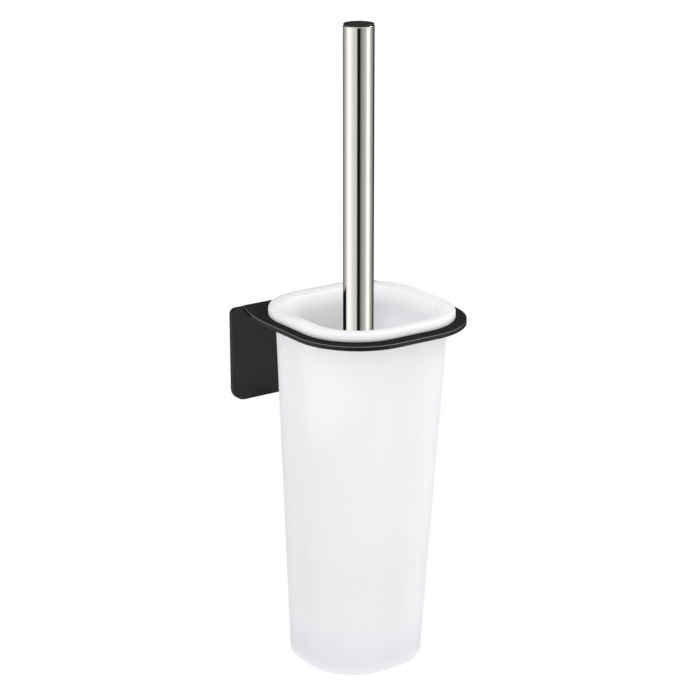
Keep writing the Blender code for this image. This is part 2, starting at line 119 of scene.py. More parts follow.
camera = bpy.data.objects.new("camera", bpy.data.cameras.new("camera"))
bpy.context.scene.collection.objects.link(camera)
camera.location = RING_MID + back * CAMERA_DISTANCE
camera.rotation_euler = (camera.location - aim).to_track_quat("Z", "Y").to_euler()
camera.data.lens = CAMERA_LENS
camera.data.clip_start = 0.05
camera.data.clip_end = 50
bpy.context.scene.camera = camera
print("camera at", [round(v, 3) for v in camera.location])

# %% [markdown]
# ## Node graphs written as sums
# Shaders and Geometry Nodes are both graphs of small boxes. Drawing them by hand in a script is
# long, so one class stands for an output socket and lets Python's own + - * / add Math nodes.
# A second class holds the tree and has one method that makes any other node.


# %% Wire and Graph
class Wire:
    """An output socket. Arithmetic on it adds Math nodes to its tree."""

    def __init__(self, graph, socket):
        self.graph = graph
        self.socket = socket

    def __add__(self, other):
        return self.graph.math("ADD", self, other)

    def __radd__(self, other):
        return self.graph.math("ADD", other, self)

    def __sub__(self, other):
        return self.graph.math("SUBTRACT", self, other)

    def __rsub__(self, other):
        return self.graph.math("SUBTRACT", other, self)

    def __mul__(self, other):
        return self.graph.math("MULTIPLY", self, other)

    def __rmul__(self, other):
        return self.graph.math("MULTIPLY", other, self)

    def __truediv__(self, other):
        return self.graph.math("DIVIDE", self, other)

    def __mod__(self, other):
        return self.graph.math("MODULO", self, other)


class Graph:
    """A node tree, with one method for every node but Math."""

    def __init__(self, tree):
        self.tree = tree

    def feed(self, socket, value):
        if isinstance(value, Wire):
            self.tree.links.new(value.socket, socket)
        else:
            socket.default_value = value

    def math(self, operation, *values):
        node = self.tree.nodes.new("ShaderNodeMath")
        node.operation = operation
        for socket, value in zip(node.inputs, values):
            self.feed(socket, value)
        return Wire(self, node.outputs[0])

    def add(self, kind, settings=None, sockets=None, out=0):
        """Makes a node, sets it up, fills its sockets and returns one output as a Wire."""
        node = self.tree.nodes.new(kind)
        for key, value in (settings or {}).items():
            if key == "stops":
                self.set_stops(node.color_ramp, value)
            else:
                setattr(node, key, value)
        for key, value in (sockets or {}).items():
            self.feed(node.inputs[key], value)
        return Wire(self, node.outputs[out]) if node.outputs else node

    def set_stops(self, ramp, stops):
        while len(ramp.elements) > 1:
            ramp.elements.remove(ramp.elements[-1])
        ramp.elements[0].position = stops[0][0]
        for position, _ in stops[1:]:
            ramp.elements.new(position)
        for element, (_, color) in zip(ramp.elements, stops):
            element.color = (color, color, color, 1)


def ramp(graph, value, start, end):
    """A share that grows smoothly from 0 at start to 1 at end."""
    return graph.add(
        "ShaderNodeMapRange",
        {"interpolation_type": "SMOOTHSTEP"},
        {"Value": value, "From Min": start, "From Max": end},
    )


# %% [markdown]
# ## Studio
# Steel has no colour of its own to speak of: it shows the room. A real product studio puts tall
# softboxes at the sides and leaves a dark gap behind the camera, and the tube shows all of it as
# upright stripes. Here the World is that room, painted by compass direction with two colour
# ramps. The one below the horizon holds the stripes, because a tube seen from above reflects
# what lies low. The one above is broad soft light in front and dark behind the object, so that
# the flat ring, seen at a low angle, mirrors the dark. Camera rays see clean white instead.

# %% World
ROOM_GAIN = 1.75
HORIZON_LOW = -0.08
HORIZON_HIGH = 0.10
# Degrees to the right of the camera's own direction, and how bright the room is there.
ABOVE = [
    (-180, 0.05),
    (-128, 0.10),
    (-85, 0.50),
    (-30, 0.66),
    (30, 0.68),
    (85, 0.60),
    (128, 0.10),
    (180, 0.05),
]
STRIPES = [
    (-180, 0.02),
    (-150, 0.10),
    (-118, 0.34),
    (-98, 0.60),
    (-84, 0.94),
    (-66, 0.94),
    (-46, 0.66),
    (-14, 0.48),
    (-8, 0.004),
    (9, 0.004),
    (20, 0.22),
    (52, 0.44),
    (68, 0.94),
    (82, 0.94),
    (98, 0.40),
    (124, 0.18),
    (140, 0.01),
    (180, 0.01),
]

world = bpy.data.worlds.new("studio")
bpy.context.scene.world = world
world.use_nodes = True
world.node_tree.nodes.clear()
room = Graph(world.node_tree)
looking = room.add("ShaderNodeTexCoord", out="Generated")
east, north, height = (
    room.add("ShaderNodeSeparateXYZ", sockets={"Vector": looking}, out=axis) for axis in "XYZ"
)
compass = room.math("ARCTAN2", east, 0 - north) - CAMERA_AZIMUTH
turned_share = (compass / (2 * math.pi) + 1.5) % 1.0


def by_compass(levels):
    """Brightness by compass direction, from a list of degrees and levels."""
    stops = [((angle + 180) / 360, level) for angle, level in levels]
    return room.add("ShaderNodeValToRGB", {"stops": stops}, {"Fac": turned_share})


above = ramp(room, height, HORIZON_LOW, HORIZON_HIGH)
low_light = by_compass(STRIPES) * ROOM_GAIN * (1 - above)
high_light = by_compass(ABOVE) * ROOM_GAIN * above
camera_ray = room.add("ShaderNodeLightPath", out="Is Camera Ray")
studio = room.add(
    "ShaderNodeBackground",
    sockets={"Color": (1.0, 0.998, 0.992, 1), "Strength": low_light + high_light},
)
paper = room.add("ShaderNodeBackground", sockets={"Color": (1, 1, 1, 1), "Strength": 1.0})
seen = room.add("ShaderNodeMixShader", sockets={0: camera_ray, 1: studio, 2: paper})
room.add("ShaderNodeOutputWorld", sockets={"Surface": seen})
print("world stripes:", len(STRIPES))

# %% [markdown]
# ## Floor and key light
# The holder hangs on a wall, so the floor lies some way under the cup. It is a plain pale disc
# that sends light back up, and the camera itself sees it as clean white paper. It is hidden from
# mirror reflections, so that the tube sees the studio. One small softbox, high on the right,
# makes that side of the cup a little brighter.

# %% Floor and key light
FLOOR_DROP = 0.12
FLOOR_RADIUS = 4.0


def floor_material():
    material = bpy.data.materials.new("floor_paper")
    material.use_nodes = True
    material.node_tree.nodes.clear()
    graph = Graph(material.node_tree)
    matt = graph.add("ShaderNodeBsdfDiffuse", sockets={"Color": (0.94, 0.94, 0.95, 1)})
    lit = graph.add("ShaderNodeEmission", sockets={"Color": (1, 1, 1, 1), "Strength": 1.0})
    camera_ray = graph.add("ShaderNodeLightPath", out="Is Camera Ray")
    shader = graph.add("ShaderNodeMixShader", sockets={0: camera_ray, 1: matt, 2: lit})
    graph.add("ShaderNodeOutputMaterial", sockets={"Surface": shader})
    return material


disc = bmesh.new()
bmesh.ops.create_circle(disc, cap_ends=True, segments=96, radius=FLOOR_RADIUS)
bmesh.ops.translate(disc, verts=disc.verts, vec=(0, 0, CAD_LOW.z - FLOOR_DROP))
floor_mesh = bpy.data.meshes.new("floor")
disc.to_mesh(floor_mesh)
disc.free()
floor_mesh.materials.append(floor_material())
floor = bpy.data.objects.new("floor", floor_mesh)
bpy.context.scene.collection.objects.link(floor)
floor.visible_glossy = False


def softbox(name, azimuth, elevation, distance, width, height, watts):
    """An area light that faces the ring from a compass direction."""
    lamp = bpy.data.lights.new(name, "AREA")
    lamp.shape = "RECTANGLE"
    lamp.size = width
    lamp.size_y = height
    lamp.energy = watts
    box = bpy.data.objects.new(name, lamp)
    bpy.context.scene.collection.objects.link(box)
    a, e = math.radians(azimuth), math.radians(elevation)
    away = Vector((math.sin(a) * math.cos(e), -math.cos(a) * math.cos(e), math.sin(e)))
    box.location = RING_MID + away * distance
    box.rotation_euler = away.to_track_quat("Z", "Y").to_euler()
    return box


softbox("key_softbox", azimuth=82, elevation=40, distance=1.3, width=0.28, height=0.28, watts=4.5)
bpy.context.scene.view_settings.view_transform = "Standard"
print("floor, mm under the cup:", round(FLOOR_DROP / MM))

# %% [markdown]
# ## Finishes
# Each finish is a Principled shader. What is the same all over sits on the shader's own sockets.
# What changes over the surface, such as grain, is noise read from Object coordinates, in metres:
# a scale of 1000 gives grains about a millimetre across. Object coordinates never slide when the
# piece moves, because a piece's mesh holds its place.


# %% A start for every finish
def finish(name, sockets):
    """A Principled material. Returns it with its graph and shader node."""
    material = bpy.data.materials.new(name)
    material.use_nodes = True
    material.node_tree.nodes.clear()
    graph = Graph(material.node_tree)
    shader = material.node_tree.nodes.new("ShaderNodeBsdfPrincipled")
    for key, value in sockets.items():
        shader.inputs[key].default_value = value
    graph.add("ShaderNodeOutputMaterial", sockets={"Surface": Wire(graph, shader.outputs[0])})
    print("finish:", name)
    return material, graph, shader


def noise(graph, scale, stretch=(1, 1, 1), detail=2.0):
    """Noise in object space, from 0 to 1, pulled out along any axis whose stretch is under 1."""
    place = graph.add("ShaderNodeTexCoord", out="Object")
    pulled = graph.add("ShaderNodeMapping", sockets={"Vector": place, "Scale": stretch})
    return graph.add(
        "ShaderNodeTexNoise",
        sockets={"Vector": pulled, "Scale": scale, "Detail": detail},
        out="Fac",
    )


def blend_colors(graph, share, low, high):
    """A colour between two others, each three numbers or a Wire."""
    low, high = (color if isinstance(color, Wire) else (*color, 1) for color in (low, high))
    return graph.add("ShaderNodeMix", {"data_type": "RGBA"}, {0: share, 6: low, 7: high}, out=2)


def height_of(graph):
    """How high a point of the piece lies, in metres."""
    place = graph.add("ShaderNodeTexCoord", out="Object")
    return graph.add("ShaderNodeSeparateXYZ", sockets={"Vector": place}, out="Z")


def surface(graph, shader, color, roughness, relief, depth, strength):
    """Feeds a shader its colour, its roughness and a bump of the given depth in metres."""
    normal = graph.add(
        "ShaderNodeBump",
        sockets={"Height": relief, "Distance": depth, "Strength": strength},
        out="Normal",
    )
    graph.feed(shader.inputs["Base Color"], color)
    graph.feed(shader.inputs["Roughness"], roughness)
    graph.feed(shader.inputs["Normal"], normal)


# %% [markdown]
# ### Powder coat
# Powder is sprayed on dry and melts in an oven into a matt skin with a very fine orange peel.
# Two sizes of noise make the skin, and a faint broad noise stops the black from looking flat.
# The rounding of the ring's top edge is painted as a paler line: a painted highlight for the light
# that edge catches. It could be found from the mesh's corners, but that edge lies level, so its
# height is enough.

# %% Powder coat
COAT_DEEP = (0.009, 0.009, 0.010)
COAT_WORN = (0.014, 0.014, 0.015)
# The paler colour below is a painted highlight on the ring's rounded top edge.
COAT_PAINTED_HIGHLIGHT = (0.20, 0.20, 0.205)


def powder_coat():
    material, graph, shader = finish("black_powder_coat", {"Specular IOR Level": 0.18})
    broad = noise(graph, 60, detail=1.0)
    grain = noise(graph, 2600) * 0.7 + noise(graph, 900) * 0.3
    coat = blend_colors(graph, broad, COAT_DEEP, COAT_WORN)
    height = height_of(graph)
    # A thin band just under the ring's top, where the painted highlight goes.
    highlight_over_wall = ramp(graph, height, RING_TOP - 0.60 * MM, RING_TOP - 0.40 * MM)
    highlight_under_top = ramp(graph, height, RING_TOP - 0.01 * MM, RING_TOP - 0.14 * MM)
    color = blend_colors(graph, highlight_over_wall * highlight_under_top, coat, COAT_PAINTED_HIGHLIGHT)
    surface(graph, shader, color, 0.25 + 0.08 * grain, grain, 0.03 * MM, 0.4)
    return material


POWDER = powder_coat()

# %% [markdown]
# ### Satin glass
# Acid etching leaves clear glass milky. Light goes in, wanders and comes out, so the shader
# scatters under the surface. A cloudy noise shifts the white between a warm and a blue cast.
# Light also comes through the wall from the far side and gathers in the lip. Real transmission
# would show that but needs many more samples, so painted light stands in for it: a soft glow from
# the emission, least in the upper wall, more lower down, most in the lip, where it also brightens
# the lip's front, which the black ring shades. The foot's colour is darker: painted shade, which
# takes back the light that the floor throws up onto it.

# %% Satin glass
GLASS_COOL = (0.820, 0.824, 0.880)
GLASS_WARM = (0.842, 0.845, 0.892)
# The foot colour is painted shade: darker, to take back the light that the floor throws up.
GLASS_FOOT_PAINTED_SHADE = (0.57, 0.58, 0.60)
# The three glow colours are painted light, given to the Emission socket: upper wall, lower wall and
# lip.
PAINTED_GLOW_WALL = (0.62, 0.627, 0.64)
PAINTED_GLOW_LOW = (0.82, 0.83, 0.87)
PAINTED_GLOW_LIP = (0.95, 0.96, 0.98)
FOOT_SHADE_REACH = 44 * MM
LIP_GLOW_REACH = 6 * MM
PAINTED_GLOW_START = 130 * MM
PAINTED_GLOW_FULL = 40 * MM


def satin_glass():
    material, graph, shader = finish(
        "satin_glass",
        {
            "Subsurface Weight": 1.0,
            "Subsurface Radius": (0.030, 0.031, 0.034),
            "Subsurface Scale": 1.0,
            "Emission Strength": 0.25,
            "IOR": 1.5,
            "Specular IOR Level": 0.4,
        },
    )
    cloud = noise(graph, 22, detail=1.0)
    etch = noise(graph, 3200)
    height = height_of(graph)
    # Share of painted shade, growing towards the foot's base.
    foot_shade_share = ramp(graph, height, CUP_LOW.z + FOOT_SHADE_REACH, CUP_LOW.z)
    # Shares of painted light: towards the lip, and lower down the wall.
    lip_glow_share = ramp(graph, height, RING_TOP - LIP_GLOW_REACH, RING_TOP)
    low_glow_share = ramp(graph, height, CUP_LOW.z + PAINTED_GLOW_START, CUP_LOW.z + PAINTED_GLOW_FULL)
    milk = blend_colors(graph, cloud, GLASS_COOL, GLASS_WARM)
    painted_glow = blend_colors(graph, low_glow_share, PAINTED_GLOW_WALL, PAINTED_GLOW_LOW)
    # Painted light: the emission brightens the lip and the lower wall.
    graph.feed(shader.inputs["Emission Color"], blend_colors(graph, lip_glow_share, painted_glow, PAINTED_GLOW_LIP))
    # Painted shade: the colour darkens towards the foot's base.
    color = blend_colors(graph, foot_shade_share, milk, GLASS_FOOT_PAINTED_SHADE)
    surface(graph, shader, color, 0.46 + 0.08 * cloud, etch, 0.02 * MM, 0.3)
    return material


GLASS = satin_glass()

# %% [markdown]
# ### Brushed steel
# The tube is ground along its length, which leaves long fine scratches under a high polish. The
# noise is pulled out a hundred times along Z, so it turns into hairlines.

# %% Brushed steel
STEEL_DARK = (0.60, 0.585, 0.555)
STEEL_LIGHT = (0.67, 0.655, 0.62)


def brushed_steel():
    material, graph, shader = finish("brushed_steel", {"Metallic": 1.0})
    hair = noise(graph, 2400, stretch=(1, 1, 0.01), detail=3.0)
    broad = noise(graph, 300, stretch=(1, 1, 0.02), detail=1.0)
    color = blend_colors(graph, broad, STEEL_DARK, STEEL_LIGHT)
    surface(graph, shader, color, 0.07 + 0.05 * hair, hair, 0.004 * MM, 0.35)
    return material


STEEL = brushed_steel()

# %% [markdown]
# ### Zinc, plastics, silicone and nylon
# The concealed parts are plain trade finishes: zinc plating with a mottled grey, moulded plastic
# with a faint grain, clear-white silicone, and nylon filament that lets some light through.

# %% The smaller finishes
ZINC_DARK = (0.47, 0.48, 0.50)
ZINC_LIGHT = (0.63, 0.64, 0.65)


def zinc_plate():
    material, graph, shader = finish("zinc_plated_steel", {"Metallic": 1.0})
    spangle = noise(graph, 420, detail=4.0)
    color = blend_colors(graph, spangle, ZINC_DARK, ZINC_LIGHT)
    surface(graph, shader, color, 0.30 + 0.22 * spangle, spangle, 0.03 * MM, 0.4)
    return material


def moulded(name, low, high, roughness, scatter=0.0):
    """A moulded finish between two close colours; scatter lets light into it."""
    settings = {
        "Subsurface Weight": scatter,
        "Subsurface Radius": (0.003, 0.003, 0.003),
        "Subsurface Scale": 1.0,
    }
    material, graph, shader = finish(name, settings)
    grain = noise(graph, 1500)
    color = blend_colors(graph, noise(graph, 90), low, high)
    surface(graph, shader, color, roughness + 0.08 * grain, grain, 0.02 * MM, 0.35)
    return material


ZINC = zinc_plate()
BLACK_PLASTIC = moulded("black_plastic", (0.004, 0.004, 0.004), (0.007, 0.007, 0.008), 0.26)
WHITE_PLASTIC = moulded("white_plastic", (0.78, 0.79, 0.79), (0.84, 0.845, 0.84), 0.38, 0.2)
SILICONE = moulded("silicone", (0.66, 0.67, 0.68), (0.74, 0.75, 0.755), 0.50, 0.4)
NYLON = moulded("nylon_filament", (0.80, 0.82, 0.84), (0.90, 0.91, 0.92), 0.42, 0.3)
print("finishes:", len(bpy.data.materials))

# %% [markdown]
# ## Outlines and skins
# Nearly every piece here is a row of outlines with faces drawn between them: the cup from foot
# to lip, the tube from end to end. So a few small tools do most of the modelling. They work on
# plain lists of points, and the mesh is only made at the end.


# %% Outlines
def arc(middle, radius, start, end, steps):
    """Points on a circle, from one angle to another, in degrees."""
    points = []
    for step in range(steps + 1):
        angle = math.radians(start + (end - start) * step / steps)
        x = middle[0] + radius * math.cos(angle)
        y = middle[1] + radius * math.sin(angle)
        points.append((x, y))
    return points


def rounded_square(width, corner, middle_y=0.0, steps=14):
    """A square outline with round corners, anticlockwise from its right side."""
    inset = width / 2 - corner
    points = []
    for side_x, side_y, start in ((1, 1, 0), (-1, 1, 90), (-1, -1, 180), (1, -1, 270)):
        middle = (side_x * inset, middle_y + side_y * inset)
        points += arc(middle, corner, start, start + 90, steps)
    return points


def soften(points, radius, steps=4):
    """Rounds every inner corner of an open path of (a, b) points."""
    path = [Vector(point) for point in points]
    soft = [path[0]]
    for before, corner, after in zip(path, path[1:], path[2:]):
        to_before = (before - corner).normalized()
        to_after = (after - corner).normalized()
        half = to_before.angle(to_after) / 2
        room = 0.49 * min((before - corner).length, (after - corner).length)
        if half > math.radians(88) or room < 1e-6:
            soft.append(corner)
            continue
        reach = min(radius / math.tan(half), room)
        turn = reach * math.tan(half)
        middle = corner + (to_before + to_after).normalized() * turn / math.sin(half)
        first = corner + to_before * reach - middle
        last = corner + to_after * reach - middle
        sweep = first.angle_signed(last)
        start = math.atan2(first.y, first.x)
        for step in range(steps + 1):
            angle = start - sweep * step / steps
            soft.append(middle + Vector((math.cos(angle), math.sin(angle))) * turn)
    soft.append(path[-1])
    return [tuple(point) for point in soft]


print("points in a rounded square:", len(rounded_square(RING_WIDTH, 35 * MM)))

# %% [markdown]
# ## From rows of points to a piece
# `skin` draws faces between rows and `finished` turns the result into a piece: normals out,
# smooth shading that breaks at sharp edges, its material, the body it moves with, and the CAD
# node that it stands for. Weighted normals keep the big flat faces flat beside a small bevel.


# %% Skins and finished pieces
def skin(rows, hollow=False):
    """Faces between rows of (x, y, z) points: capped at both ends, or closed on itself."""
    shape = bmesh.new()
    made = [[shape.verts.new(point) for point in row] for row in rows]
    following = made[1:] + made[:1] if hollow else made[1:]
    for low, high in zip(made, following):
        for i in range(len(low)):
            j = (i + 1) % len(low)
            shape.faces.new((low[i], low[j], high[j], high[i]))
    if not hollow:
        shape.faces.new(made[0][::-1])
        shape.faces.new(made[-1])
    return shape


def as_object(name, shape):
    """Writes a bmesh, with doubles merged and faces out, to an object at the origin."""
    bmesh.ops.remove_doubles(shape, verts=shape.verts, dist=1e-6)
    bmesh.ops.recalc_face_normals(shape, faces=shape.faces)
    mesh = bpy.data.meshes.new(name)
    shape.to_mesh(mesh)
    shape.free()
    piece = bpy.data.objects.new(name, mesh)
    bpy.context.scene.collection.objects.link(piece)
    return piece


def settle(piece):
    """Puts the result of a piece's modifiers into its mesh and drops the modifiers."""
    graph = bpy.context.evaluated_depsgraph_get()
    mesh = bpy.data.meshes.new_from_object(piece.evaluated_get(graph))
    piece.modifiers.clear()
    piece.data = mesh
    mesh.name = piece.name


def finished(piece, material, body, nodes=(), bevel=0.0, sharp=40):
    """Bevels and shades a piece, gives it its finish, and hangs it on its body."""
    if bevel:
        edge = piece.modifiers.new("edge", "BEVEL")
        edge.width = bevel
        edge.segments = 3
        edge.limit_method = "ANGLE"
        edge.angle_limit = math.radians(50)
        settle(piece)
    piece.data.shade_smooth()
    piece.data.set_sharp_from_angle(angle=math.radians(sharp))
    weighted = piece.modifiers.new("flat_faces", "WEIGHTED_NORMAL")
    weighted.keep_sharp = True
    settle(piece)
    piece.data.materials.clear()
    piece.data.materials.append(material)
    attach(piece, body)
    if nodes:
        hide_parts(*nodes)
    print(piece.name, "faces:", len(piece.data.polygons))
    return piece


# %% [markdown]
# ## Wall plate
# The plate is laser-cut sheet with tight corners above and softer ones below, where a hand
# passes. A 2D curve with its outline filled gives the sheet, and a small bevel gives the edge
# that powder coat rounds over. That thin rounded edge is what catches the light.

# %% Wall plate
PLATE_TOP_CORNER = 3.5 * MM
PLATE_BOTTOM_CORNER = 8 * MM
SHEET_EDGE = 0.6 * MM


def flat_sheet(name, outlines, thickness):
    """Sheet cut to the first outline, with the later ones as holes, lying on z = 0."""
    curve = bpy.data.curves.new(name, "CURVE")
    curve.dimensions = "2D"
    curve.fill_mode = "BOTH"
    curve.extrude = thickness / 2
    for outline in outlines:
        spline = curve.splines.new("POLY")
        spline.points.add(len(outline) - 1)
        for point, (x, y) in zip(spline.points, outline):
            point.co = (x, y, 0, 1)
        spline.use_cyclic_u = True
    drawn = bpy.data.objects.new(name, curve)
    bpy.context.scene.collection.objects.link(drawn)
    graph = bpy.context.evaluated_depsgraph_get()
    mesh = bpy.data.meshes.new_from_object(drawn.evaluated_get(graph))
    shape = bmesh.new()
    shape.from_mesh(mesh)
    bpy.data.objects.remove(drawn)
    return shape


def plate_outline():
    half = PLATE_HIGH.x
    top = PLATE_HIGH.z
    low = PLATE_LOW.z
    small, large = PLATE_TOP_CORNER, PLATE_BOTTOM_CORNER
    points = arc((half - small, top - small), small, 0, 90, 8)
    points += arc((small - half, top - small), small, 90, 180, 8)
    points += arc((large - half, low + large), large, 180, 270, 14)
    points += arc((half - large, low + large), large, 270, 360, 14)
    return points


sheet = flat_sheet("wall_plate_outline", [plate_outline()], PLATE_HIGH.y - PLATE_LOW.y)
for vert in sheet.verts:
    vert.co = (vert.co.x, PLATE_MID.y - vert.co.z, vert.co.y)
plate = as_object("plate_sheet", sheet)
finished(plate, POWDER, "holder", ["wall_plate"], bevel=SHEET_EDGE)

# %% [markdown]
# ## Ring
# The ring is cut from sheet too and welded to the plate's face, a little above the plate's top.
# In front its corners follow the cup. Behind, its sides draw in on one long curve towards the
# plate. A Boolean could cut the hole, but a curve takes it as a second outline. The steel tube
# would mirror the ring as a dark zigzag, so the ring is hidden from mirror reflections, and so
# are the gasket, the cup and the tube.

# %% Ring
RING_CORNER = 41 * MM
RING_STRAIGHT = 19 * MM
RING_DRAWN_IN = 8 * MM
RING_RIM = 7 * MM
WELD_OVERLAP = 0.2 * MM
HOLE_WIDTH = RING_WIDTH - 2 * RING_RIM
HOLE_CORNER = 35.9 * MM


def ring_outline():
    half = RING_WIDTH / 2
    inset = half - RING_CORNER
    run = PLATE_LOW.y + WELD_OVERLAP - RING_MID.y - RING_STRAIGHT
    flank = (run**2 + RING_DRAWN_IN**2) / (2 * RING_DRAWN_IN)
    sweep = math.degrees(math.asin(run / flank))
    points = arc((-inset, -inset), RING_CORNER, 180, 270, 20)
    points += arc((inset, -inset), RING_CORNER, 270, 360, 20)
    points += arc((half - flank, RING_STRAIGHT), flank, 0, sweep, 10)
    points += arc((flank - half, RING_STRAIGHT), flank, 180 - sweep, 180, 10)
    return points


hole = rounded_square(HOLE_WIDTH, HOLE_CORNER, CUP_Y - RING_MID.y, 20)
sheet = flat_sheet("ring_outline", [ring_outline(), hole], RING_TOP - RING_LOW.z)
bmesh.ops.translate(sheet, verts=sheet.verts, vec=(0, RING_MID.y, RING_BOX_MID.z))
ring = as_object("ring_sheet", sheet)
finished(ring, POWDER, "holder", ["holder_ring"], bevel=SHEET_EDGE)
ring.visible_glossy = False

# %% [markdown]
# ## Glass cup
# The cup is blown into a mould, so its wall leans in on three sides and stands upright at the
# back. Its lip is a fat band that slopes inwards and hangs on the ring. One skin runs from the
# foot, up the outside, round the lip and down to the floor inside. A Subdivision Surface over a
# few points could give the same roundness, but rows at known heights keep the sizes exact.

# %% Glass cup
CUP_CORNER = 35 * MM
CUP_WALL = 6.4 * MM
CUP_FLOOR = 12 * MM
CUP_WAIST = 92.6 * MM
FOOT_WIDTH = 76 * MM
FOOT_CORNER = 32.5 * MM
FOOT_SHIFT = 6.2 * MM
FOOT_ROUND = 1.8 * MM
FOOT_RECESS = 0.9 * MM
LIP_CORNER = 36.2 * MM
MOUTH_WIDTH = 77.4 * MM
MOUTH_CORNER = 26 * MM
INSIDE_ROUND = 4 * MM
WALL_STEPS = 16
LIP_WIDTH = CUP_HIGH.x - CUP_LOW.x
LIP_UNDER = RING_TOP + 1.2 * MM
LIP_BAND = (LIP_WIDTH - MOUTH_WIDTH) / 2
# How far in from the lip's outside, and how high above the ring, the lip's section runs.
LIP_SECTION = [
    (1.0 * MM, 1.2 * MM),
    (0.5 * MM, 0.3 * MM),
    (0, 0.3 * MM),
    (0, 5.2 * MM),
    (3.4 * MM, 5.5 * MM),
    (9.4 * MM, 4.3 * MM),
    (LIP_BAND, -3 * MM),
]
CUP_DROP = RING_TOP - CUP_LOW.z
LIP_MID_Y = CUP_LOW.y + LIP_WIDTH / 2


def cup_row(z, inward=0.0):
    """The wall's outline at a height, or one set in from it."""
    share = (RING_TOP - z) / CUP_DROP
    width = CUP_WAIST + (FOOT_WIDTH - CUP_WAIST) * share - 2 * inward
    corner = CUP_CORNER + (FOOT_CORNER - CUP_CORNER) * share - inward
    outline = rounded_square(width, corner, LIP_MID_Y + FOOT_SHIFT * share)
    return [(x, y, z) for x, y in outline]


def level_row(width, corner, z):
    """A rounded square round the lip's middle."""
    return [(x, y, z) for x, y in rounded_square(width, corner, LIP_MID_Y)]


def quarter(steps):
    """(1 - cos, 1 - sin) along a quarter turn: how far a round is set in and down."""
    angles = [math.pi / 2 * step / steps for step in range(steps + 1)]
    return [(1 - math.cos(angle), 1 - math.sin(angle)) for angle in angles]


rows = [cup_row(CUP_LOW.z + FOOT_RECESS, 13 * MM), cup_row(CUP_LOW.z + FOOT_RECESS, 8 * MM)]
rows.append(cup_row(CUP_LOW.z, 5.5 * MM))
for inset, drop in quarter(6)[::-1]:
    rows.append(cup_row(CUP_LOW.z + FOOT_ROUND * drop, FOOT_ROUND * inset))
for step in range(1, WALL_STEPS):
    rows.append(cup_row(CUP_LOW.z + FOOT_ROUND + (CUP_DROP - FOOT_ROUND) * step / WALL_STEPS))
rows.append(cup_row(LIP_UNDER))
for inset, height in soften(LIP_SECTION, 1.6 * MM, 6):
    share = min(inset / LIP_BAND, 1.0)
    corner = LIP_CORNER + (MOUTH_CORNER - LIP_CORNER) * share
    rows.append(level_row(LIP_WIDTH - 2 * inset, corner, RING_TOP + height))
for share in (0.12, 0.25, 0.4, 0.55, 0.7, 0.85):
    rows.append(cup_row(RING_TOP - (CUP_DROP - CUP_FLOOR) * share, CUP_WALL))
for inset, drop in quarter(6):
    z = CUP_LOW.z + CUP_FLOOR + INSIDE_ROUND * drop
    rows.append(cup_row(z, CUP_WALL + INSIDE_ROUND * inset))
cup = as_object("cup_glass", skin(rows))
finished(cup, GLASS, "cup", ["glass_cup"], sharp=50)
cup.visible_glossy = False

# %% [markdown]
# ## Gasket
# A soft L-shaped ring lines the hole, so glass never touches steel. It is one closed band made
# by skinning six outlines and joining the last to the first.

# %% Gasket
GASKET_SKIRT = 0.9 * MM
GASKET_WIDTH = GASKET_HIGH.x - GASKET_LOW.x
SKIRT_WIDTH = GASKET_WIDTH - 2 * GASKET_SKIRT
SKIRT_CORNER = HOLE_CORNER - 0.4 * MM
SEAT = RING_TOP + 0.3 * MM

inner = (SKIRT_WIDTH - 2 * GASKET_SKIRT, SKIRT_CORNER - GASKET_SKIRT)
middle = (SKIRT_WIDTH, SKIRT_CORNER)
outer = (GASKET_WIDTH, SKIRT_CORNER + GASKET_SKIRT)
low, top = GASKET_LOW.z, GASKET_HIGH.z
section = [(inner, low), (middle, low), (middle, SEAT), (outer, SEAT), (outer, top), (inner, top)]
rows = [level_row(*size, z) for size, z in section]
gasket = as_object("gasket_ring", skin(rows, hollow=True))
finished(gasket, SILICONE, "holder", ["ring_gasket"], bevel=0.12 * MM)
gasket.visible_glossy = False

# %% [markdown]
# ## Handle
# The handle is a length of tube with a plastic plug in each end. All three are turned shapes: a
# profile is drawn once beside the axis and carried round it. A Screw modifier could do that, but
# rows of points give the same mesh with nothing left to apply.

# %% Turned pieces
TURN_STEPS = 96


def turned(name, profile, axis_y, steps=TURN_STEPS):
    """Carries a closed (radius, z) profile round an upright axis at x = 0."""
    rows = []
    for radius, z in profile:
        row = []
        for step in range(steps):
            angle = 2 * math.pi * step / steps
            row.append((radius * math.cos(angle), axis_y + radius * math.sin(angle), z))
        rows.append(row)
    on_axis = profile[0][0] < 1e-7
    shape = skin(rows, hollow=True)
    if on_axis:
        bmesh.ops.remove_doubles(shape, verts=shape.verts, dist=1e-6)
        stray = [face for face in shape.faces if face.calc_area() < 1e-12]
        bmesh.ops.delete(shape, geom=stray, context="FACES_ONLY")
        loose = [edge for edge in shape.edges if not edge.link_faces]
        bmesh.ops.delete(shape, geom=loose, context="EDGES")
    return as_object(name, shape)


# %% Tube and cap
TUBE_RADIUS = TUBE_HIGH.x
TUBE_WALL = 1.0 * MM
TUBE_EDGE = 0.45 * MM
BORE = TUBE_RADIUS - TUBE_WALL
PLUG_RADIUS = BORE - 0.3 * MM
outside = [
    (BORE, TUBE_HIGH.z),
    (TUBE_RADIUS, TUBE_HIGH.z),
    (TUBE_RADIUS, TUBE_LOW.z),
    (BORE, TUBE_LOW.z),
]
profile = soften(outside, TUBE_EDGE, 5)
tube = turned("tube_steel", profile, BRUSH_Y, steps=128)
finished(tube, STEEL, "handle", ["handle_tube"])
tube.visible_glossy = False

